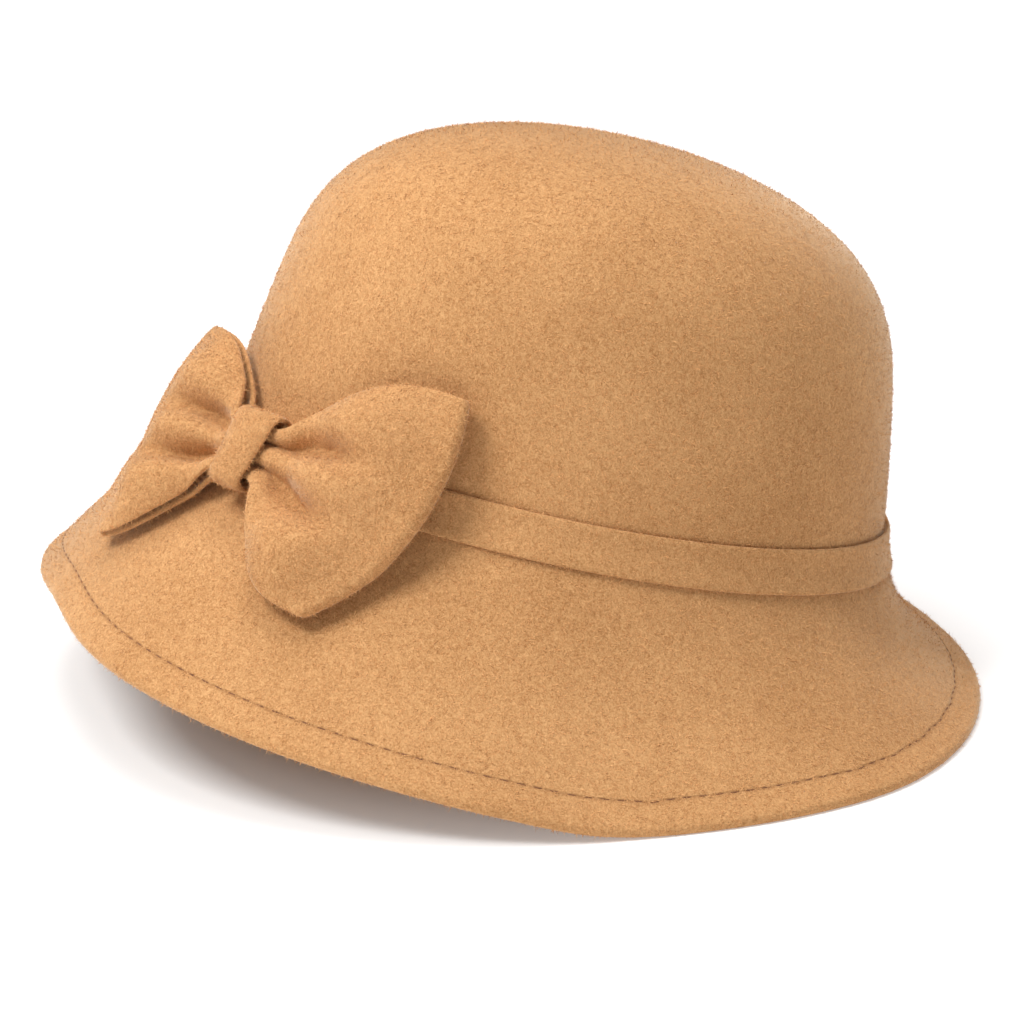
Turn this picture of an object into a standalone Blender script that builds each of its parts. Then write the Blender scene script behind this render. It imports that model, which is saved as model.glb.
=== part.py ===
"""Felt cloche hat with a narrow felt band and a looped felt bow, lying on a table as it rests by itself.

Metres, +Z up. The front of the hat faces -Y and the wearer's left is +X. The hat leans back on the
rear half of its brim, so that the front of the brim is off the table.
Origin: on the table, under the middle of the hat's length and width.
"""

import math
from collections import namedtuple

import bmesh
import bpy
import numpy as np
from mathutils import Matrix, Vector
from mathutils.bvhtree import BVHTree

# Felt body: crown and brim blocked in one piece
CROWN_HALF_LENGTH = 0.1006   # outside, at the top of the band, front to back
CROWN_HALF_WIDTH = 0.0865    # outside, at the top of the band, side to side
CROWN_HEIGHT = 0.0945        # from the top of the band to the tip
CROWN_TAPER = 0.135          # share of its width that the crown loses towards the tip
CROWN_SQUARENESS = 5.0       # exponent of the dome: higher is flatter on top
FELT = 0.0020                # wall
BREAK_HEIGHT = 0.0140        # the turn from crown to brim, which the band covers
BREAK_FLARE = 0.0048         # how far the wall turns out over that height

CROWN_FORWARD = 0.0022       # how far the tip stands forward of the oval's centre

BRIM_REACH = 0.0520          # level distance from the break to the rim, where it is widest
BRIM_HOLLOW = 0.0043         # depth of the brim's hollow curve under a straight slope
LEAN_BACK = math.radians(13.8)
BREAK_OFF_TABLE = 0.0551     # height of the break's centre above the table
FRONT_LIFT = 0.0369          # the rim's height off the table at the front

# Shape of the rim and brim, one row for every 15 degrees from the front to the back, the same on both
# sides. reach is a share of BRIM_REACH, hollow of BRIM_HOLLOW (below nought the brim swells instead),
# lift of FRONT_LIFT (below nought the rim lies on the table).
RimSection = namedtuple("RimSection", "bearing reach lift hollow")
RIM = (
    RimSection(0, 0.72, 0.96, -0.6),
    RimSection(15, 0.78, 0.88, -0.6),
    RimSection(30, 0.87, 0.80, -0.4),
    RimSection(45, 0.90, 0.63, 0.0),
    RimSection(60, 0.92, 0.43, 0.4),
    RimSection(75, 0.94, 0.20, 0.7),
    RimSection(90, 0.95, -0.035, 0.9),
    RimSection(105, 0.99, 0.00, 1.0),
    RimSection(120, 1.00, 0.00, 1.0),
    RimSection(135, 0.88, 0.00, 1.0),
    RimSection(150, 0.73, 0.00, 1.0),
    RimSection(165, 0.62, 0.00, 1.0),
    RimSection(180, 0.57, 0.00, 1.0),
)

HEM_WIDTH = 0.0095           # the turned-under edge, from rim to stitch line
HEM_THICKNESS = 0.0040       # two layers of felt
STITCH_GROOVE = 0.0005       # how deep the stitch line pulls into the felt
REST_FLAT = 0.0006           # how much the felt flattens where the rim bears on the table

# Band round the base of the crown
BAND_HEIGHT = 0.0132
BAND_FELT = 0.0016
FIT_GAP = 0.0003             # clearance between pieces that touch

# Bow: one strip of felt looped both ways and gathered under a knot. It lies on a cone about the crown.
BOW_BEARING = math.radians(22.5)   # from the front towards the wearer's left
BOW_TURN = math.radians(5.5)       # turn of the bow about its knot, anticlockwise from outside
BOW_CONE_RADIUS = 0.1450           # of the cone at the knot
BOW_CONE_ANGLE = math.radians(20)  # half the cone's angle: how far the bow's top leans to the crown
BOW_STAND = 0.0070                 # middle of the gathered strip off the band
BOW_HEIGHT = 0.0042                # the knot's middle above the break
BOW_FELT = 0.0018

LOOP_REACH = 0.0570                # from the knot's middle to the outer fold
LOOP_HALF_HEIGHT = 0.0365          # half the height of the strip at the outer fold

# The two loops. side is 1 towards the wearer's left. reach is a share of LOOP_REACH, and so are
# slant, by which the upper tip reaches further, and bulge, by which the tips fall short of the
# middle. half_height is a share of LOOP_HALF_HEIGHT, and so is droop. The two flares say how soon
# the strip widens beside the knot, above and below: 1 widens evenly, higher sooner.
Loop = namedtuple("Loop", "side reach half_height slant bulge droop flare_up flare_down")
LOOPS = (
    Loop(1, 0.95, 1.00, 0.135, 0.150, 0.05, 2.3, 3.6),
    Loop(-1, 0.94, 0.96, 0.085, 0.180, 0.06, 2.1, 1.6),
)

WAIST_HALF_HEIGHT = 0.0078         # half the height of the gathered strip under the knot
WAIST_DEPTH = 0.0072               # front layer to back layer under the knot
WAIST_ROUNDING = 0.45              # share of that depth lost at the strip's edges under the knot
PUFF_DEPTH = 0.0172                # front layer to back layer at the loop's fullest
FOLD_DEPTH = 0.0050                # front layer to back layer at the outer fold
EDGE_DEPTH = 0.0027                # front layer to back layer at the cut edges
CREASE_DEPTH = 0.0145              # of the gathers that run out from the knot
CREASE_START = 0.25                # share of that depth under the knot

# Gathers in the front layer, one row each. start and end say where across the strip they lie at the
# knot and at their outer end, as shares of its half height. depth is a share of CREASE_DEPTH, width
# one of the half height, and length one of the loop past the knot.
Crease = namedtuple("Crease", "start end depth width length")
CREASES = (
    Crease(0.46, 0.20, 1.00, 0.17, 0.85),
    Crease(-0.42, -0.26, 1.00, 0.17, 0.85),
)

KNOT_WIDTH = 0.0135
KNOT_TAPER = 0.22                  # share of that width it gains towards the top and loses towards the bottom
KNOT_FELT = 0.0018
KNOT_SLACK = 0.0014                # the knot's spare height round the strip, and twice its spare depth
KNOT_SWELL = 0.0024                # how far the knot's middle stands out

HELD_HALF_WIDTH = KNOT_WIDTH / 2 * (1 + KNOT_TAPER) + FIT_GAP * 4   # of the strip under the knot

SEGMENTS = 56
CROWN_RINGS = 13
BRIM_RINGS = 6
EDGE_RINGS = 6
LOOP_STATIONS = 10           # along a loop, knot to fold
FOLD_STATIONS = 3            # round the outer fold
STRIP_ROWS = 21              # across the strip
KNOT_STATIONS = 28           # round the knot
KNOT_ROWS = 5                # across the knot

FELT_COLOUR = (0.60, 0.34, 0.15, 1.0)


def clear_scene():
    for obj in list(bpy.data.objects):
        bpy.data.objects.remove(obj)


def felt_material(name, colour=FELT_COLOUR, roughness=0.95):
    material = bpy.data.materials.new(name)
    material.use_nodes = True
    shader = material.node_tree.nodes["Principled BSDF"]
    shader.inputs["Base Color"].default_value = colour
    shader.inputs["Roughness"].default_value = roughness
    shader.inputs["Metallic"].default_value = 0.0
    material.diffuse_color = colour
    return material


def new_object(name, points, faces, material, parent):
    mesh = bpy.data.meshes.new(name)
    mesh.from_pydata([tuple(p) for p in points], [], faces)
    bm = bmesh.new()
    bm.from_mesh(mesh)
    bmesh.ops.recalc_face_normals(bm, faces=bm.faces)
    bm.to_mesh(mesh)
    bm.free()
    mesh.materials.append(material)
    mesh.shade_smooth()
    mesh.set_sharp_from_angle(angle=math.radians(50))
    obj = bpy.data.objects.new(name, mesh)
    bpy.context.scene.collection.objects.link(obj)
    obj.parent = parent
    return obj


# The felt body's outer surface, in the hat's own frame: Z along the crown, origin at the centre of the break


def bearings(count=SEGMENTS):
    return [2 * math.pi * i / count for i in range(count)]


def base_point(bearing, out=0.0):
    """Point of the crown's oval at this bearing from the front, moved outwards along the oval's normal."""
    x = CROWN_HALF_WIDTH * math.sin(bearing)
    y = -CROWN_HALF_LENGTH * math.cos(bearing)
    normal = Vector((x / CROWN_HALF_WIDTH**2, y / CROWN_HALF_LENGTH**2)).normalized()
    return Vector((x, y)) + normal * out


def rim_share(bearing, column):
    """A column of the RIM table at any bearing, read from a smooth curve through its rows."""
    turn = abs(math.remainder(bearing, 2 * math.pi))
    step = math.radians(RIM[1].bearing)
    row = min(int(turn / step), len(RIM) - 2)
    along = turn / step - row
    last = len(RIM) - 1
    before, start, end, after = (
        getattr(RIM[last - abs(last - abs(row + k))], column) for k in (-1, 0, 1, 2)
    )
    return start + 0.5 * along * (
        end - before
        + along * (2 * before - 5 * start + 4 * end - after + along * (3 * (start - end) + after - before))
    )


def brim_reach(bearing):
    return BRIM_REACH * rim_share(bearing, "reach")


def rim_drop(bearing):
    """How far below the break the rim lies, in the hat's frame, so that its rear half meets the table."""
    rim = base_point(bearing, BREAK_FLARE + brim_reach(bearing))
    lift = FRONT_LIFT * max(0.0, rim_share(bearing, "lift"))
    height = lift + HEM_THICKNESS / 2 - REST_FLAT
    return (BREAK_OFF_TABLE - height - rim.y * math.sin(LEAN_BACK)) / math.cos(LEAN_BACK)


def crown_point(bearing, share):
    """share runs from 0 at the top of the band to 1 at the tip."""
    climb = math.sin(share * math.pi / 2) ** (2 / CROWN_SQUARENESS)
    spread = math.cos(share * math.pi / 2) * (1 - CROWN_TAPER * climb)
    base = base_point(bearing)
    forward = CROWN_FORWARD * climb
    return Vector((base.x * spread, base.y * spread - forward, BREAK_HEIGHT + CROWN_HEIGHT * climb))


def break_point(bearing, share):
    """share runs from 0 at the top of the band to 1 at the break."""
    out = BREAK_FLARE * share**2
    base = base_point(bearing, out)
    return Vector((base.x, base.y, BREAK_HEIGHT * (1 - share)))


def brim_point(bearing, share):
    """share runs from 0 at the break to 1 at the rim."""
    reach = brim_reach(bearing)
    drop = rim_drop(bearing)
    slope = math.hypot(reach, drop)
    hollow = BRIM_HOLLOW * rim_share(bearing, "hollow") * math.sin(math.pi * share**0.8)
    out = BREAK_FLARE + reach * share - hollow * drop / slope
    base = base_point(bearing, out)
    return Vector((base.x, base.y, -drop * share - hollow * reach / slope))


def outer_rings():
    """Rings of the outer surface from just below the tip down to the rim, each with its wall thickness."""
    around = bearings()
    rings = []
    for i in range(1, CROWN_RINGS + 1):
        share = 1 - (i / CROWN_RINGS) ** 1.25
        rings.append(([crown_point(b, share) for b in around], FELT))
    for share in (0.5, 1.0):
        rings.append(([break_point(b, share) for b in around], FELT))
    for i in range(1, BRIM_RINGS + 1):
        rings.append(([brim_point(b, hem_share(b) * i / BRIM_RINGS) for b in around], FELT))
    return rings


def hem_share(bearing):
    """Where along the brim the stitch line lies, as a share of the way from break to rim."""
    slope = math.hypot(brim_reach(bearing), rim_drop(bearing))
    return 1 - HEM_WIDTH / slope


def surface_normals(rings):
    """Outward unit normals of a set of closed rings, by differences along and across them."""
    grid = np.array([[list(p) for p in ring] for ring in rings])
    around = np.roll(grid, -1, axis=1) - np.roll(grid, 1, axis=1)
    down = np.gradient(grid, axis=0)
    normal = np.cross(down, around)
    normal /= np.linalg.norm(normal, axis=2, keepdims=True)
    return grid, normal


def hat_frame():
    """Matrix from the hat's own frame to the table: leaned back, with the origin under the middle of its length."""
    lean = Matrix.Rotation(-LEAN_BACK, 4, "X")
    lean.translation.z = BREAK_OFF_TABLE
    front, back = (
        (lean @ brim_point(b, 1.0)).y for b in (0.0, math.pi)
    )
    lean.translation.y = -(front + back) / 2
    return lean


def settle(points, frame):
    """Felt below the table's surface flattens onto it."""
    back = frame.inverted()
    settled = []
    for point in points:
        on_table = frame @ Vector(point)
        on_table.z = max(on_table.z, 0.0)
        settled.append(back @ on_table)
    return settled


def bridge(first, second, count):
    """Quads between two closed rings, given by their first point's index."""
    return [
        (first + i, first + (i + 1) % count, second + (i + 1) % count, second + i)
        for i in range(count)
    ]


def make_crown_and_brim(frame, parent):
    around = bearings()
    body = outer_rings()
    hem_top = [
        [brim_point(b, hem_share(b) + (1 - hem_share(b)) * s) for b in around]
        for s in (0.35, 0.8)
    ]
    grid, normal = surface_normals([ring for ring, _ in body] + hem_top)
    outer, hem = grid[: len(body)], grid[len(body):]
    outer_n, hem_n = normal[: len(body)], normal[len(body):]

    outer = outer.copy()
    outer[-1] -= STITCH_GROOVE * outer_n[-1]
    inner = outer - FELT * outer_n

    # The hem's edge is a half round between its upper and lower sides
    edge = []
    radius = HEM_THICKNESS / 2
    outward = hem[-1] - hem[-2]
    outward /= np.linalg.norm(outward, axis=1, keepdims=True)
    centre = hem[-1] - radius * hem_n[-1]
    up = np.array(frame.inverted().to_3x3() @ Vector((0, 0, 1)))
    for i, bearing in enumerate(around):
        lift = FRONT_LIFT * max(0.0, rim_share(bearing, "lift"))
        centre[i] += (lift + radius - REST_FLAT - (frame @ Vector(centre[i])).z) * up
    for i in range(EDGE_RINGS + 1):
        turn = math.pi * i / EDGE_RINGS
        edge.append(centre + radius * (math.cos(turn) * hem_n[-1] + math.sin(turn) * outward))
    hem_under = outer[-1] - (HEM_THICKNESS - STITCH_GROOVE) * outer_n[-1]

    rings = list(outer) + [hem[0]] + edge + [hem_under] + list(inner[::-1])
    tip = Vector((0, -CROWN_FORWARD, BREAK_HEIGHT + CROWN_HEIGHT))
    points = [tip] + [Vector(p) for ring in rings for p in ring] + [tip - Vector((0, 0, FELT))]
    points = settle(points, frame)
    count = len(around)
    faces = [(0, 1 + i, 1 + (i + 1) % count) for i in range(count)]
    for k in range(len(rings) - 1):
        faces += bridge(1 + k * count, 1 + (k + 1) * count, count)
    last = 1 + (len(rings) - 1) * count
    faces += [(len(points) - 1, last + (i + 1) % count, last + i) for i in range(count)]
    return new_object("crown_and_brim", points, faces, felt_material("wool_felt"), parent)


def make_band(parent):
    """A strip of felt round the break, its ends meeting behind the bow."""
    around = bearings()
    low = (BREAK_HEIGHT - BAND_HEIGHT) / BREAK_HEIGHT
    shares = [1 - low - (1 - low) * i / 4 for i in range(5)]
    grid, normal = surface_normals([[break_point(b, s) for b in around] for s in shares[::-1]])
    inside = grid + FIT_GAP * normal
    outside = grid + (FIT_GAP + BAND_FELT) * normal
    rings = list(outside) + list(inside[::-1])
    count = len(around)
    points = [Vector(p) for ring in rings for p in ring]
    faces = []
    for k in range(len(rings)):
        faces += bridge(k * count, (k + 1) % len(rings) * count, count)
    return new_object("band", points, faces, felt_material("band_felt"), parent)


def smooth(value):
    value = min(max(value, 0.0), 1.0)
    return value * value * (3 - 2 * value)


class Lay:
    """Carries the bow's flat pattern onto its cone about the crown, clear of the hat underneath."""

    def __init__(self, body):
        band_out = BREAK_FLARE / 4 + FIT_GAP + BAND_FELT
        foot = base_point(BOW_BEARING, band_out)
        away = (base_point(BOW_BEARING, 1.0) - base_point(BOW_BEARING)).normalized()
        self.away = Vector((away.x, away.y, 0))
        self.along = Vector((-away.y, away.x, 0))
        self.axis = Vector((foot.x, foot.y, BOW_HEIGHT)) - self.away * BOW_CONE_RADIUS
        self.slant = BOW_CONE_RADIUS / math.sin(BOW_CONE_ANGLE)
        self.body = BVHTree.FromObject(body, bpy.context.evaluated_depsgraph_get())

    def on_cone(self, x, y, lift):
        """Flat pattern x towards the wearer's left, y up, lift off the cone; and the cone's normal there."""
        x, y = (
            x * math.cos(BOW_TURN) - y * math.sin(BOW_TURN),
            x * math.sin(BOW_TURN) + y * math.cos(BOW_TURN),
        )
        slant = math.hypot(self.slant - y, x)
        turn = math.atan2(x, self.slant - y) / math.sin(BOW_CONE_ANGLE)
        radial = self.away * math.cos(turn) + self.along * math.sin(turn)
        normal = radial * math.cos(BOW_CONE_ANGLE) + Vector((0, 0, math.sin(BOW_CONE_ANGLE)))
        height = (self.slant - slant) * math.cos(BOW_CONE_ANGLE)
        point = self.axis + radial * slant * math.sin(BOW_CONE_ANGLE) + Vector((0, 0, height))
        return point + normal * (BOW_STAND + lift), normal

    def place(self, x, y, lifts):
        """Points over one place of the pattern, each lift from the strip's middle, clear of the hat."""
        under, normal = self.on_cone(x, y, -WAIST_DEPTH / 2)
        clearance = BAND_FELT + FIT_GAP * 3 + BOW_FELT / 2
        clearance += (KNOT_FELT + FIT_GAP + KNOT_SLACK / 2) * under_knot(x)
        reach = LOOP_REACH
        _, _, _, distance = self.body.ray_cast(under + normal * reach, -normal, 2 * reach)
        push = 0.0 if distance is None else max(0.0, reach - distance + clearance)
        return [under + normal * (push + WAIST_DEPTH / 2 + lift) for lift in lifts]


def under_knot(x):
    """1 where the knot holds the strip, falling to 0 within half its width."""
    return 1 - smooth((abs(x) - HELD_HALF_WIDTH) / (KNOT_WIDTH / 2))


def crease(across, free):
    """Depth of the gathers at a place on the front layer, free being the share of the loop past the knot."""
    depth = 0.0
    for fold in CREASES:
        fade = CREASE_START + (1 - CREASE_START) * smooth(free * 7)
        fade *= 1 - smooth(free / fold.length) ** 2
        middle = fold.start + (fold.end - fold.start) * min(1.0, free / fold.length) ** 0.6
        depth += fold.depth * fade * math.exp(-(((across - middle) / fold.width) ** 2))
    return CREASE_DEPTH * depth


def strip_section(loop, share):
    """One station of a loop: for each row across the strip its place and its back and front lift."""
    reach = LOOP_REACH * loop.reach
    held_share = HELD_HALF_WIDTH / reach
    free = max(0.0, share - held_share) / (1 - held_share)
    end_height = LOOP_HALF_HEIGHT * loop.half_height
    full = WAIST_DEPTH + (PUFF_DEPTH - WAIST_DEPTH) * math.sin(math.pi * free) ** 2
    full += (FOLD_DEPTH - WAIST_DEPTH) * smooth(free)
    rows = []
    for j in range(STRIP_ROWS):
        across = -1 + 2 * j / (STRIP_ROWS - 1)
        flare = loop.flare_up if across > 0 else loop.flare_down
        half = WAIST_HALF_HEIGHT + (end_height - WAIST_HALF_HEIGHT) * (1 - (1 - free) ** flare)
        tips = LOOP_REACH * (loop.slant * across - loop.bulge * across**2)
        x = loop.side * share * (reach + share**0.3 * tips)
        y = across * half - LOOP_HALF_HEIGHT * loop.droop * smooth(free)
        held = 1 - WAIST_ROUNDING * abs(across) ** 3 * under_knot(x)
        edge = 1 - abs(across) ** 3 * smooth(free * 5)
        depth = EDGE_DEPTH + (full * held - EDGE_DEPTH) * edge - crease(across, free)
        back = -WAIST_DEPTH / 2 * held
        rows.append((x, y, back, back + max(EDGE_DEPTH, depth)))
    return rows


def make_bow(lay, parent):
    """The looped strip: a closed sheet round both loops, open at its cut upper and lower edges."""
    stations = []
    for loop in LOOPS:
        front, back = [], []
        held_share = HELD_HALF_WIDTH / (LOOP_REACH * loop.reach)
        steps = [(i / LOOP_STATIONS) ** 1.25 for i in range(LOOP_STATIONS + 1)]
        for share in [0.0] + [held_share + (1 - held_share) * step for step in steps]:
            placed = [lay.place(x, y, lifts) for x, y, *lifts in strip_section(loop, share)]
            back.append([pair[0] for pair in placed])
            front.append([pair[1] for pair in placed])
        fold = []
        outward = [(a - b).normalized() for a, b in zip(back[-1], back[-2])]
        for i in range(1, FOLD_STATIONS + 1):
            turn = math.pi * i / (FOLD_STATIONS + 1)
            row = []
            for near, far, out in zip(front[-1], back[-1], outward):
                middle, half = (near + far) / 2, (near - far) / 2
                row.append(middle + half * math.cos(turn) + out * half.length * math.sin(turn))
            fold.append(row)
        stations.append((front, fold, back))
    (front_a, fold_a, back_a), (front_b, fold_b, back_b) = stations
    strip = front_a + fold_a + back_a[::-1] + back_b[1:] + fold_b[::-1] + front_b[:0:-1]
    grid = np.array([[list(p) for p in row] for row in strip])
    along = np.roll(grid, -1, axis=0) - np.roll(grid, 1, axis=0)
    across = np.gradient(grid, axis=1)
    normal = np.cross(along, across)
    normal /= np.linalg.norm(normal, axis=2, keepdims=True)
    outer, inner = grid + normal * BOW_FELT / 2, grid - normal * BOW_FELT / 2
    rows = STRIP_ROWS
    section = np.concatenate([outer, inner[:, ::-1]], axis=1)
    points = [Vector(p) for ring in section for p in ring]
    faces = []
    for k in range(len(strip)):
        faces += bridge(k * 2 * rows, (k + 1) % len(strip) * 2 * rows, 2 * rows)
    return new_object("bow", points, faces, felt_material("bow_felt"), parent)


def make_knot(lay, parent):
    """A tab of felt wrapped round the gathered middle of the bow."""
    rings = []
    for layer in (KNOT_FELT, 0.0):
        out_by = BOW_FELT / 2 + FIT_GAP + layer
        half_height = WAIST_HALF_HEIGHT + out_by + KNOT_SLACK
        half_depth = WAIST_DEPTH / 2 + out_by + KNOT_SLACK / 2
        for i in range(KNOT_ROWS):
            across = (-1 + 2 * i / (KNOT_ROWS - 1)) * (1 if layer else -1)
            ring = []
            for k in range(KNOT_STATIONS):
                turn = 2 * math.pi * k / KNOT_STATIONS
                up = math.copysign(abs(math.sin(turn)) ** 0.8, math.sin(turn))
                out = math.copysign(abs(math.cos(turn)) ** 0.8, math.cos(turn))
                lift = out * half_depth
                if out > 0:
                    lift += out**2 * (KNOT_SWELL * (1 - across**2) - KNOT_SLACK / 2)
                ring += lay.place(across * KNOT_WIDTH / 2 * (1 + KNOT_TAPER * up), half_height * up, [lift])
            rings.append(ring)
    points = [p for ring in rings for p in ring]
    faces = []
    for k in range(len(rings)):
        faces += bridge(k * KNOT_STATIONS, (k + 1) % len(rings) * KNOT_STATIONS, KNOT_STATIONS)
    return new_object("bow_knot", points, faces, felt_material("knot_felt"), parent)


def main():
    clear_scene()
    frame = hat_frame()
    hat = bpy.data.objects.new("hat", None)
    bpy.context.scene.collection.objects.link(hat)
    hat.matrix_world = frame
    body = make_crown_and_brim(frame, hat)
    make_band(hat)
    lay = Lay(body)
    make_bow(lay, hat)
    make_knot(lay, hat)
    bpy.context.view_layer.update()


main()
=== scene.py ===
"""A tan felt cloche hat with a narrow felt band and a looped felt bow, lying on a white table."""

import math

import bmesh
import bpy
import numpy as np
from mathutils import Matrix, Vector
from mathutils.bvhtree import BVHTree


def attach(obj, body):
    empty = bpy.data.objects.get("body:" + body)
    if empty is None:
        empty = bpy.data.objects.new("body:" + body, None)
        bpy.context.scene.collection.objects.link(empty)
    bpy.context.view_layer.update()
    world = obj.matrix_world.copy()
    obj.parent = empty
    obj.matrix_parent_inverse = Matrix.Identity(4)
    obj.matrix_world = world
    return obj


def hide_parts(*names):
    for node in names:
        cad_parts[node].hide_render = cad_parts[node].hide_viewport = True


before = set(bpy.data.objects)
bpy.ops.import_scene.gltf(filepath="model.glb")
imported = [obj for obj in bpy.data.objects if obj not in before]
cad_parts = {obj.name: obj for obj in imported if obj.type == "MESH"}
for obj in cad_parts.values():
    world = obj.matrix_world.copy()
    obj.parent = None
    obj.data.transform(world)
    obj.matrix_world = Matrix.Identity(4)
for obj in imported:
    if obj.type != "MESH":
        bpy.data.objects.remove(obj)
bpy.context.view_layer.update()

# Table and light. A white table top seen from a little above on the wearer's left, under a soft lamp to
# the left of the camera and a larger one overhead, with a weak fill from all round. Outside the hat's
# footprint the table glows, so that it looks as white as its surroundings.
CAMERA_TARGET = Vector((0.0, 0.01630, 0.0687))
CAMERA_DISTANCE = 1.2
CAMERA_AZIMUTH = math.radians(73.4)
CAMERA_ELEVATION = math.radians(16.55)
CAMERA_LENS = 141.5          # mm, on a sensor 36 mm wide
LOOK_LEFT = 0.01267          # how far the camera looks past its target, as parts of the distance
LOOK_DOWN = 0.01565
TABLE_SIZE = 8
TABLE_WHITE = (0.80, 0.80, 0.80, 1)
TABLE_GLOW = {"From Min": 0.09, "From Max": 0.18, "To Min": 0.02, "To Max": 0.50}
WHITE = (1, 1, 1, 1)
ROOM_FILL = 0.27             # the room's light on the hat
ROOM_SEEN = 1.05             # the room as the camera sees it

to_camera = Vector((
    math.sin(CAMERA_AZIMUTH) * math.cos(CAMERA_ELEVATION),
    -math.cos(CAMERA_AZIMUTH) * math.cos(CAMERA_ELEVATION),
    math.sin(CAMERA_ELEVATION),
))
view_right = Vector((0, 0, 1)).cross(to_camera).normalized()
view_up = to_camera.cross(view_right)
bpy.ops.object.camera_add(location=CAMERA_TARGET + to_camera * CAMERA_DISTANCE)
camera = bpy.context.object
camera.name = "camera"
look = -to_camera - LOOK_LEFT * view_right - LOOK_DOWN * view_up
camera.rotation_euler = look.to_track_quat("-Z", "Y").to_euler()
camera.data.sensor_width = 36
camera.data.lens = CAMERA_LENS
bpy.context.scene.camera = camera

bpy.ops.object.select_all(action="DESELECT")
bpy.ops.mesh.primitive_plane_add(size=TABLE_SIZE, location=(0, 0, 0))
table_top = bpy.context.object
table_top.name = "table_top"
table_paint = bpy.data.materials.new("table_paint")
table_paint.use_nodes = True
table_shader = table_paint.node_tree.nodes["Principled BSDF"]
table_shader.inputs["Base Color"].default_value = TABLE_WHITE
table_shader.inputs["Roughness"].default_value = 0.8
table_shader.inputs["Specular IOR Level"].default_value = 0.2
table_shader.inputs["Emission Color"].default_value = WHITE
table_nodes = table_paint.node_tree.nodes
table_place = table_nodes.new("ShaderNodeTexCoord")
table_far = table_nodes.new("ShaderNodeVectorMath")
table_far.operation = "LENGTH"
# The glow grows with the distance in metres from the middle of the hat
table_glow = table_nodes.new("ShaderNodeMapRange")
for socket, value in TABLE_GLOW.items():
    table_glow.inputs[socket].default_value = value
table_paint.node_tree.links.new(table_place.outputs["Object"], table_far.inputs[0])
table_paint.node_tree.links.new(table_far.outputs["Value"], table_glow.inputs["Value"])
table_paint.node_tree.links.new(table_glow.outputs[0], table_shader.inputs["Emission Strength"])
table_top.data.materials.append(table_paint)


def add_lamp(name, right, up, back, size, power):
    """A square soft lamp, placed from the hat along the camera's right, up and back directions."""
    place = CAMERA_TARGET + view_right * right + view_up * up + to_camera * back
    bpy.ops.object.light_add(type="AREA", location=place)
    lamp = bpy.context.object
    lamp.name = name
    lamp.data.size = size
    lamp.data.energy = power
    lamp.rotation_euler = (CAMERA_TARGET - place).to_track_quat("-Z", "Y").to_euler()


add_lamp("key_lamp", right=-0.85, up=1.05, back=0.90, size=0.60, power=20)
add_lamp("top_lamp", right=0.00, up=1.75, back=0.30, size=1.2, power=22)

room = bpy.data.worlds.new("white_room")
bpy.context.scene.world = room
room.use_nodes = True
room_nodes = room.node_tree.nodes
room_fill = room_nodes["Background"]
room_fill.inputs["Color"].default_value = WHITE
room_fill.inputs["Strength"].default_value = ROOM_FILL
room_seen = room_nodes.new("ShaderNodeBackground")
room_seen.inputs["Color"].default_value = WHITE
room_seen.inputs["Strength"].default_value = ROOM_SEEN
room_path = room_nodes.new("ShaderNodeLightPath")
room_mix = room_nodes.new("ShaderNodeMixShader")
room.node_tree.links.new(room_path.outputs["Is Camera Ray"], room_mix.inputs[0])
room.node_tree.links.new(room_fill.outputs[0], room_mix.inputs[1])
room.node_tree.links.new(room_seen.outputs[0], room_mix.inputs[2])
room.node_tree.links.new(room_mix.outputs[0], room_nodes["World Output"].inputs["Surface"])
bpy.context.scene.view_settings.view_transform = "Standard"

# Felt body. The real hat is one hood of wool felt, blocked to a round crown and a flared brim. Its
# edge is turned under and stitched down, which leaves a thicker rim and a fine groove.
FELT_LIGHT = (0.73, 0.410, 0.182)
FELT_DEEP = (0.38, 0.172, 0.058)
SHEEN_TINT = (1.0, 0.84, 0.64, 1)
CLOUD_SCALE = 26.0           # of the felt's noise patterns, per metre
FIBRE_SCALE = 820.0
GRAIN_SCALE = 1900.0
CLOUD_WEIGHT = 0.5           # how much each pattern tells in the colour
FIBRE_WEIGHT = 1.7
GRAIN_WEIGHT = 1.2
# Painted shade: the felt's colour along the hem's groove is darkened towards this colour, standing in for
# the shade in the groove
GROOVE_SHADE_COLOUR = (0.20, 0.075, 0.025, 1)
HEM_RING = 21                # the CAD hood's ring at the hem's stitch line, counted from the tip
HEM_BEFORE = 4               # rings before and after it that are measured from that line
HEM_AFTER = 5
HEM_FAR = 0.05               # the distance that all other rings get
LAST_OUTSIDE_RING = HEM_RING + 8
GROOVE_REACH = 0.0008
GROOVE_SHADE_SHARE = 0.38
GROOVE_DEPTH = 1.2           # next to the felt's own relief


class Socket:
    """A node's output, on which Python's operators add Math nodes."""

    def __init__(self, finish, output):
        self.finish, self.output = finish, output

    def math(self, operation, *values):
        return self.finish.node("ShaderNodeMath", {"operation": operation}, values)

    def __add__(self, other):
        return self.math("ADD", self, other)

    def __sub__(self, other):
        return self.math("SUBTRACT", self, other)

    def __rsub__(self, other):
        return self.math("SUBTRACT", other, self)

    def __mul__(self, other):
        return self.math("MULTIPLY", self, other)

    def __abs__(self):
        return self.math("ABSOLUTE", self)

    __radd__ = __add__
    __rmul__ = __mul__


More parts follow.
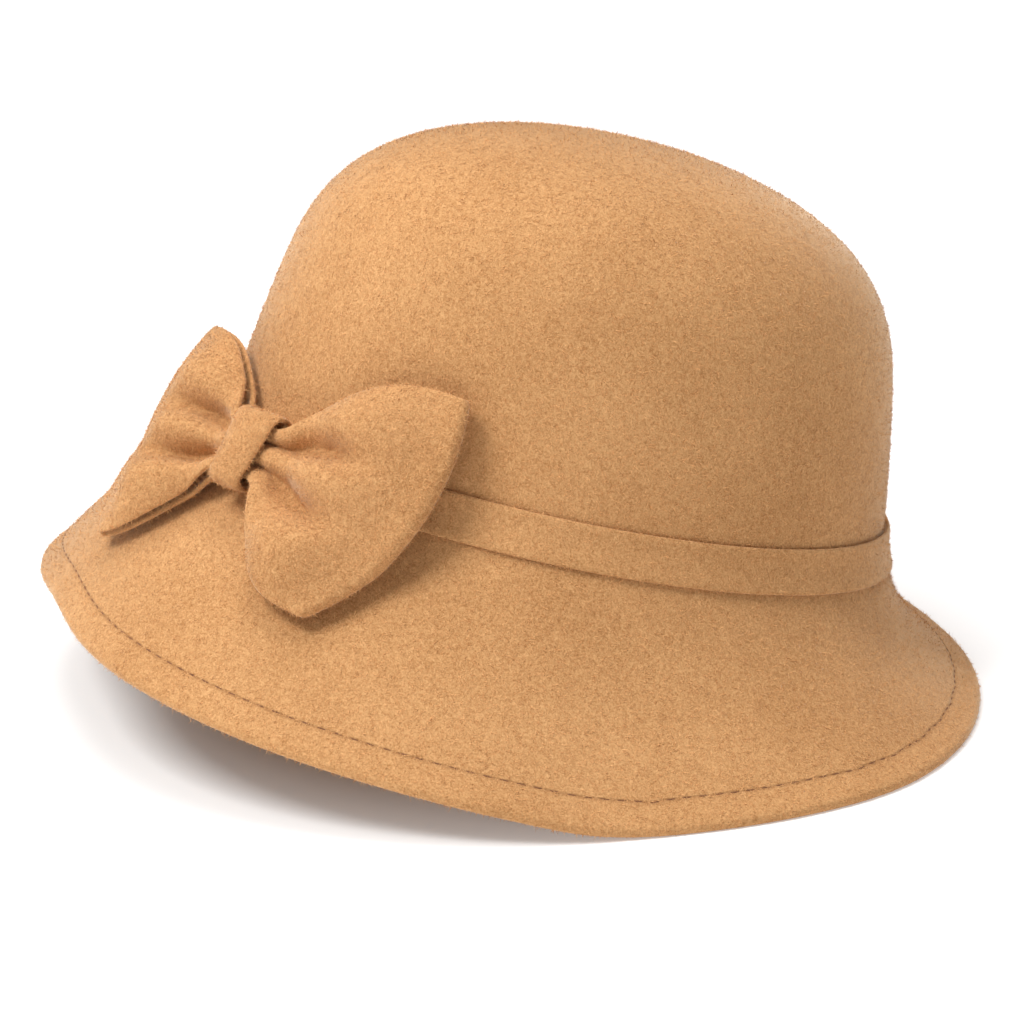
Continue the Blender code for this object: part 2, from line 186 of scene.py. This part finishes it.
class Finish:
    """A material under construction."""

    def __init__(self, name):
        self.material = bpy.data.materials.new(name)
        self.material.use_nodes = True
        self.nodes = self.material.node_tree.nodes
        self.shader = self.nodes["Principled BSDF"]

    def node(self, kind, settings, values, output=0):
        """One node: its settings are set first, then its sockets by name or position."""
        node = self.nodes.new(kind)
        for key, value in settings.items():
            setattr(node, key, value)
        for key, value in values.items() if isinstance(values, dict) else enumerate(values):
            if isinstance(value, Socket):
                self.material.node_tree.links.new(value.output, node.inputs[key])
            else:
                node.inputs[key].default_value = value
        return Socket(self, node.outputs[output])

    def noise(self, place, scale, detail, **others):
        values = {"Vector": place, "Scale": scale, "Detail": detail, **others}
        return self.node("ShaderNodeTexNoise", {}, values)

    def blend(self, share, first, second):
        """A colour between two, by the share of the second."""
        return self.node("ShaderNodeMix", {"data_type": "RGBA"}, {0: share, 6: first, 7: second}, 2)

    def feed(self, name, socket):
        self.material.node_tree.links.new(socket.output, self.shader.inputs[name])


def felt_finish(name, tone=1.0, hem=False):
    """Wool felt: soft clouds of colour, a fine mottle of matted fibres, and sheen where it turns away."""
    felt = Finish(name)
    place = felt.node("ShaderNodeTexCoord", {}, {}, "Object")
    clouds = felt.noise(place, CLOUD_SCALE, 3.0)
    fibres = felt.noise(place, FIBRE_SCALE, 4.0, Roughness=0.65, Distortion=1.4)
    grain = felt.noise(place, GRAIN_SCALE, 2.0, Roughness=0.6)
    shade = (
        0.5 + (clouds - 0.5) * CLOUD_WEIGHT + (fibres - 0.5) * FIBRE_WEIGHT + (grain - 0.5) * GRAIN_WEIGHT
    )
    light, deep = ([c * tone for c in colour] + [1] for colour in (FELT_LIGHT, FELT_DEEP))
    colour = felt.blend(shade, deep, light)
    height = fibres * 0.6 + grain * 0.4
    if hem:
        from_hem = felt.node("ShaderNodeAttribute", {"attribute_name": "from_hem"}, {}, "Fac")
        groove = felt.node("ShaderNodeMapRange", {"interpolation_type": "SMOOTHSTEP"}, {
            "Value": abs(from_hem), "From Min": 0.0, "From Max": GROOVE_REACH, "To Min": 1.0, "To Max": 0.0,
        })
        # Painted shade in the hem's groove: the colour darkens there as shade in the groove would, while
        # the dip in the bump below is the groove's real relief
        colour = felt.blend(groove * GROOVE_SHADE_SHARE, colour, GROOVE_SHADE_COLOUR)
        height = height - groove * GROOVE_DEPTH
    felt.feed("Base Color", colour)
    bump = felt.node("ShaderNodeBump", {}, {"Strength": 0.35, "Distance": 0.0006, "Height": height})
    felt.feed("Normal", bump)
    felt.shader.inputs["Roughness"].default_value = 0.95
    felt.shader.inputs["Specular IOR Level"].default_value = 0.12
    felt.shader.inputs["Sheen Weight"].default_value = 0.85
    felt.shader.inputs["Sheen Roughness"].default_value = 0.32
    felt.shader.inputs["Sheen Tint"].default_value = SHEEN_TINT
    return felt.material


def merged_copy(node, name):
    """A copy of a CAD node with its loose triangles merged to quads, the only object selected."""
    bpy.ops.object.select_all(action="DESELECT")
    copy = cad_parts[node].copy()
    copy.data = copy.data.copy()
    copy.name = name
    bpy.context.scene.collection.objects.link(copy)
    copy.select_set(True)
    bpy.context.view_layer.objects.active = copy
    copy.parent = None
    bpy.ops.object.mode_set(mode="EDIT")
    bpy.ops.mesh.select_all(action="SELECT")
    bpy.ops.mesh.remove_doubles(threshold=0.00001)
    bpy.ops.mesh.tris_convert_to_quads(
        face_threshold=math.radians(60), shape_threshold=math.radians(60)
    )
    bpy.ops.object.mode_set(mode="OBJECT")
    copy.data.materials.clear()
    return copy


def refine(piece, levels):
    """Rounds a merged copy off by subdivision."""
    bpy.ops.object.select_all(action="DESELECT")
    piece.select_set(True)
    bpy.context.view_layer.objects.active = piece
    rounding = piece.modifiers.new("rounding", "SUBSURF")
    rounding.levels = rounding.render_levels = levels
    bpy.ops.object.modifier_apply(modifier=rounding.name)
    bpy.ops.object.shade_smooth()


def rings_from_tip(mesh):
    """The hood's rings of vertices, from the tip down the outside, round the rim and up the inside."""
    shape = bmesh.new()
    shape.from_mesh(mesh)
    tip = max((v for v in shape.verts if len(v.link_edges) > 20), key=lambda v: v.co.z)
    rings, seen = [[tip]], {tip}
    while rings[-1]:
        ring = {e.other_vert(v) for v in rings[-1] for e in v.link_edges} - seen
        seen |= ring
        rings.append(sorted(ring, key=lambda v: math.atan2(v.co.x, -v.co.y)))
    rings = [[v.index for v in ring] for ring in rings[:-1]]
    shape.free()
    return rings


def run_between(points, column, first, last):
    """How far it is along the felt from one ring to a later one."""
    return sum((points[i + 1][column] - points[i][column]).length for i in range(first, last))


hood = merged_copy("crown_and_brim", "felt_hood")
hood_rings = rings_from_tip(hood.data)
hood_points = [[hood.data.vertices[i].co.copy() for i in ring] for ring in hood_rings]
from_hem = hood.data.attributes.new("from_hem", "FLOAT", "POINT")
outside = hood.data.attributes.new("outside", "FLOAT", "POINT")
for level, ring in enumerate(hood_rings):
    for k, index in enumerate(ring):
        distance = -HEM_FAR if level < HEM_RING else HEM_FAR
        if HEM_RING - HEM_BEFORE <= level < HEM_RING:
            distance = -run_between(hood_points, k, level, HEM_RING)
        elif HEM_RING <= level <= HEM_RING + HEM_AFTER:
            distance = run_between(hood_points, k, HEM_RING, level)
        from_hem.data[index].value = distance
        outside.data[index].value = 1.0 if level <= LAST_OUTSIDE_RING else 0.0
refine(hood, 2)
hood.data.materials.append(felt_finish("hood_felt", hem=True))
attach(hood, "root")
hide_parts("crown_and_brim")

# Hem stitches. A row of dark brown thread, about five stitches to 25 mm, sunk in the hem's groove.
STITCH_PITCH = 0.0047
STITCH_LENGTH = 0.0027
STITCH_WIDTH = 0.00042
STITCH_HEIGHT = 0.8          # next to the width
THREAD_DARK = (0.14, 0.050, 0.020, 1)
THREAD_WORN = (0.30, 0.125, 0.05, 1)
HEM_NEAR = 0.01              # edges that reach farther from the hem line aren't cut by it
HEM_SAMPLES = 6000

# The groove runs where the finished hood's distance from the hem line is nought
hem_value = np.empty(len(hood.data.vertices), dtype=np.float32)
hood.data.attributes["from_hem"].data.foreach_get("value", hem_value)
hem_cuts = []
for edge in hood.data.edges:
    i, j = edge.vertices
    if hem_value[i] <= 0 < hem_value[j] or hem_value[j] <= 0 < hem_value[i]:
        if max(abs(hem_value[i]), abs(hem_value[j])) < HEM_NEAR:
            share = hem_value[i] / (hem_value[i] - hem_value[j])
            hem_cuts.append(hood.data.vertices[i].co.lerp(hood.data.vertices[j].co, float(share)))
hem_cuts.sort(key=lambda p: math.atan2(p.x, -p.y))
hem_angles = [math.atan2(p.x, -p.y) for p in hem_cuts]
even_angles = np.linspace(-math.pi, math.pi, HEM_SAMPLES, endpoint=False)
hem_line = np.stack([
    np.interp(even_angles, hem_angles, [p[k] for p in hem_cuts], period=2 * math.pi) for k in range(3)
], axis=1)
hem_steps = np.linalg.norm(np.roll(hem_line, -1, axis=0) - hem_line, axis=1)
hem_run = np.concatenate([[0], np.cumsum(hem_steps)])
stitch_count = round(hem_run[-1] / STITCH_PITCH)
hood_surface = BVHTree.FromObject(hood, bpy.context.evaluated_depsgraph_get())

bpy.ops.object.select_all(action="DESELECT")
bpy.ops.mesh.primitive_uv_sphere_add(segments=6, ring_count=5, radius=0.5)
one_stitch = bpy.context.object
stitch_shape = np.array([list(v.co) for v in one_stitch.data.vertices])
stitch_faces = [tuple(f.vertices) for f in one_stitch.data.polygons]
bpy.data.objects.remove(one_stitch)
stitch_verts, stitch_polys = [], []
for k in range(stitch_count):
    at = int(np.searchsorted(hem_run, hem_run[-1] * (k + 0.5) / stitch_count)) % HEM_SAMPLES
    along = Vector(hem_line[(at + 1) % HEM_SAMPLES] - hem_line[at - 1]).normalized()
    place, out, _, _ = hood_surface.find_nearest(Vector(hem_line[at]))
    side = out.cross(along).normalized()
    first = len(stitch_verts)
    for x, y, z in stitch_shape:
        stitch_verts.append(
            place + along * (z * STITCH_LENGTH) + side * (x * STITCH_WIDTH)
            + out * (y * STITCH_WIDTH * STITCH_HEIGHT)
        )
    stitch_polys += [tuple(first + i for i in face) for face in stitch_faces]
stitch_mesh = bpy.data.meshes.new("hem_stitches")
stitch_mesh.from_pydata(stitch_verts, [], stitch_polys)
stitches = bpy.data.objects.new("hem_stitches", stitch_mesh)
bpy.context.scene.collection.objects.link(stitches)
thread = Finish("brown_thread")
thread_place = thread.node("ShaderNodeTexCoord", {}, {}, "Object")
thread_wear = thread.noise(thread_place, 300.0, 2.0)
thread.feed("Base Color", thread.blend(thread_wear, THREAD_DARK, THREAD_WORN))
thread.shader.inputs["Roughness"].default_value = 0.8
stitches.data.materials.append(thread.material)
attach(stitches, "root")

# Loose fibres. Brushed wool felt has a short nap, which softens its outline and its edges. The fibres lie
# almost flat, a little lighter than the felt. The hood's inside has none here, because it hardly shows.
NAP_WIDTH = 0.00008
NAP_LIE = 0.66               # 1 would be flat on the felt
NAP_LEAST_RISE = 0.05
NAP_TONE = 1.18
TABLE_CLEARANCE = 0.0002     # fibres that come closer to the table are left out


def nap(piece, name, count, length, seed, only_outside=False):
    """Short fibres over a piece, each one thin triangle lying along the felt."""
    mesh = piece.data
    mesh.calc_loop_triangles()
    corners = np.empty(len(mesh.loop_triangles) * 3, dtype=np.int32)
    mesh.loop_triangles.foreach_get("vertices", corners)
    corners = corners.reshape(-1, 3)
    points = np.empty(len(mesh.vertices) * 3, dtype=np.float32)
    mesh.vertices.foreach_get("co", points)
    points = points.reshape(-1, 3)
    if only_outside:
        flags = np.empty(len(mesh.vertices), dtype=np.float32)
        mesh.attributes["outside"].data.foreach_get("value", flags)
        corners = corners[flags[corners].min(axis=1) > 0.9]
    a, b, c = (points[corners[:, k]] for k in range(3))
    normal = np.cross(b - a, c - a)
    area = np.linalg.norm(normal, axis=1)
    normal /= area[:, None] + 1e-20
    dice = np.random.default_rng(seed)
    pick = dice.choice(len(corners), size=count, p=area / area.sum())
    u, v = dice.random((2, count))
    flip = u + v > 1
    u[flip], v[flip] = 1 - u[flip], 1 - v[flip]
    root = a[pick] + u[:, None] * (b - a)[pick] + v[:, None] * (c - a)[pick]
    out = normal[pick]
    lean = dice.normal(size=(count, 3))
    lean -= (lean * out).sum(axis=1)[:, None] * out
    lean /= np.linalg.norm(lean, axis=1)[:, None]
    rise = (1 - NAP_LIE) * dice.random(count)[:, None] ** 1.5 + NAP_LEAST_RISE
    tip = root + (lean + out * rise * 2) * (length * (0.4 + 0.9 * dice.random(count)))[:, None]
    width = np.cross(out, lean) * NAP_WIDTH * (0.6 + 0.8 * dice.random(count))[:, None]
    kept = (tip[:, 2] > TABLE_CLEARANCE) & (root[:, 2] > TABLE_CLEARANCE)
    verts = np.stack([root - width, root + width, tip], axis=1)[kept].reshape(-1, 3)
    fibres = bpy.data.meshes.new(name)
    total = len(verts) // 3
    fibres.vertices.add(total * 3)
    fibres.vertices.foreach_set("co", verts.astype(np.float32).ravel())
    fibres.loops.add(total * 3)
    fibres.loops.foreach_set("vertex_index", np.arange(total * 3, dtype=np.int32))
    fibres.polygons.add(total)
    fibres.polygons.foreach_set("loop_start", np.arange(total, dtype=np.int32) * 3)
    fibres.polygons.foreach_set("loop_total", np.full(total, 3, dtype=np.int32))
    fibres.update()
    fibres.materials.append(nap_finish)
    felt_nap = bpy.data.objects.new(name, fibres)
    bpy.context.scene.collection.objects.link(felt_nap)
    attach(felt_nap, "root")


nap_finish = felt_finish("felt_nap", tone=NAP_TONE)
nap(hood, "hood_nap", count=190000, length=0.0016, seed=3, only_outside=True)

# Band. A narrow strip of the same felt, wrapped once round the foot of the crown. Its ends meet under
# the bow.
band = merged_copy("band", "felt_band")
refine(band, 2)
band.data.materials.append(felt_finish("band_strip_felt"))
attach(band, "root")
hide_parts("band")
nap(band, "band_nap", count=26000, length=0.0014, seed=5)

# Bow. One wide strip of the same felt, looped to both sides and gathered in the middle, so that folds
# run out of the knot. It sits over the band on the wearer's front left.
bow = merged_copy("bow", "felt_bow")
refine(bow, 2)
bow.data.materials.append(felt_finish("bow_strip_felt"))
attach(bow, "root")
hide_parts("bow")
nap(bow, "bow_nap", count=80000, length=0.0016, seed=7)

# Knot. A short tab of the same felt, wrapped round the gathered middle of the bow. It is joined behind
# the bow, where nothing shows.
knot = merged_copy("bow_knot", "felt_knot")
refine(knot, 2)
knot.data.materials.append(felt_finish("knot_tab_felt"))
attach(knot, "root")
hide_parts("bow_knot")
nap(knot, "knot_nap", count=9000, length=0.0014, seed=11)
